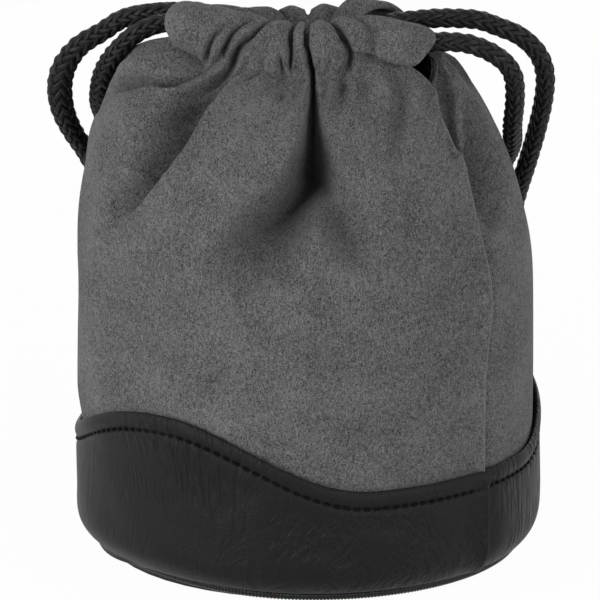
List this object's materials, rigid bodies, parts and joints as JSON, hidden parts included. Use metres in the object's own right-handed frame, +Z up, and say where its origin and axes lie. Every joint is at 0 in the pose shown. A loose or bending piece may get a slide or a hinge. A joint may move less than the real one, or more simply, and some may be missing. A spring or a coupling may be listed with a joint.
{
  "type": "drawstring lens pouch",
  "caption": "Soft round suede pouch with a padded base, a wave-edged leather band round the foot and a gathered mouth drawn shut by braided cords.",
  "frame": {"origin": "centre of the base, on the surface the pouch stands on", "axes": "+Z up through the mouth, -Y to the front, +X to the right as seen from the front"},
  "size_m": [0.1083, 0.102, 0.1205],
  "materials": {
    "suede": "mid-grey napped suede",
    "band_leather": "black creased leather, low sheen",
    "welt_leather": "black leather rolled over a cord, satin",
    "board": "grey stiffener board",
    "foam": "soft black foam",
    "lining": "dark grey brushed cloth",
    "braid": "black braided cord"
  },
  "bodies": {
    "pouch": {"suede_front_panel": "suede", "suede_back_panel": "suede", "leather_band_front": "band_leather", "leather_band_back": "band_leather", "base_disc": "band_leather", "base_welt": "welt_leather", "base_board": "board", "base_foam_pad": "foam", "base_lining_disc": "lining", "right_cord_in_casing": "braid", "left_cord_in_casing": "braid"},
    "right_draw": {"right_front_cord_exit": "braid", "right_back_cord_exit": "braid"},
    "right_loop": {"right_front_strand": "braid", "right_back_strand": "braid", "right_knot": "braid"},
    "left_draw": {"left_front_cord_exit": "braid", "left_back_cord_exit": "braid"},
    "left_loop": {"left_front_strand": "braid", "left_back_strand": "braid", "left_knot": "braid"}
  },
  "joints": [
    {"name": "right_cord_pull", "type": "slide", "parent": "pouch", "child": "right_draw", "axis": [0.9773, 0, -0.2119], "range_m": [0, 0.008]},
    {"name": "right_loop_swing", "type": "hinge", "parent": "right_draw", "child": "right_loop", "pos_m": [0.0333, 0, 0.11405], "axis": [0, -1, 0], "range_deg": [0, 85]},
    {"name": "left_cord_pull", "type": "slide", "parent": "pouch", "child": "left_draw", "axis": [-0.9773, 0, 0.2119], "range_m": [0, 0.008]},
    {"name": "left_loop_swing", "type": "hinge", "parent": "left_draw", "child": "left_loop", "pos_m": [-0.0333, 0, 0.11405], "axis": [0, 1, 0], "range_deg": [0, 85]}
  ]
}
